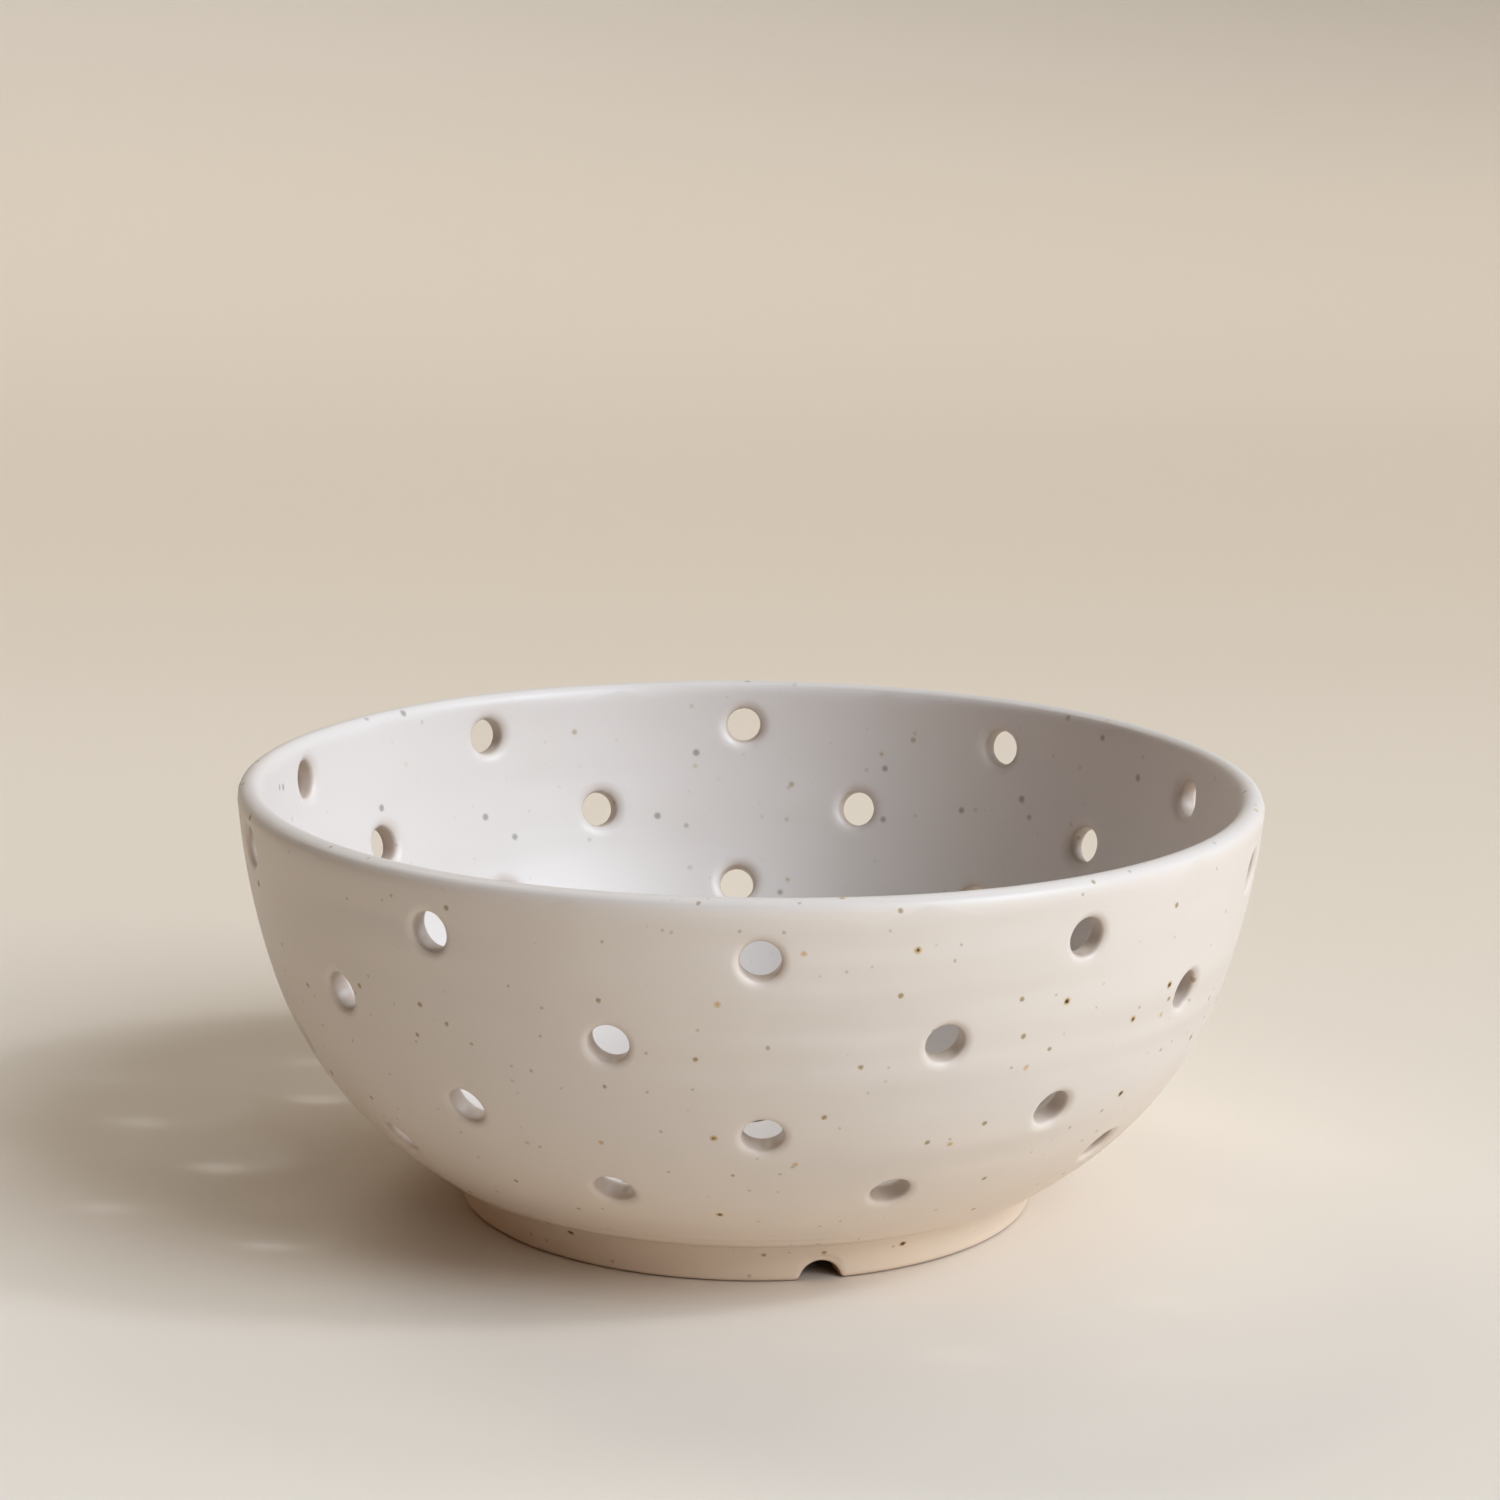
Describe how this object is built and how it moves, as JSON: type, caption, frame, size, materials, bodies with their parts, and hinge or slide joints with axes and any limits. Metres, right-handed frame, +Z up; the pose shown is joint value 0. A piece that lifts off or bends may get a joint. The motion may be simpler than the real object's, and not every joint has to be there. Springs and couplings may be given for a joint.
{
  "type": "berry colander bowl",
  "caption": "Round stoneware berry bowl with staggered rows of drain holes through its wall and floor, standing on a foot ring with drain notches.",
  "frame": {"origin": "centre of the base, on the surface that the bowl stands on", "axes": "+Z up through the centre of the bowl, -Y to the front, the side whose foot notch is a little right of its middle, +X to the right"},
  "size_m": [0.1774, 0.1774, 0.0745],
  "materials": {
    "speckled_glaze": "satin oatmeal white glaze over stoneware, with brown iron specks",
    "foot_glaze": "the same glaze thinned to a warm buff, over a bare stoneware base"
  },
  "bodies": {
    "root": {"bowl_body": "speckled_glaze", "foot_ring": "foot_glaze"}
  },
  "joints": []
}
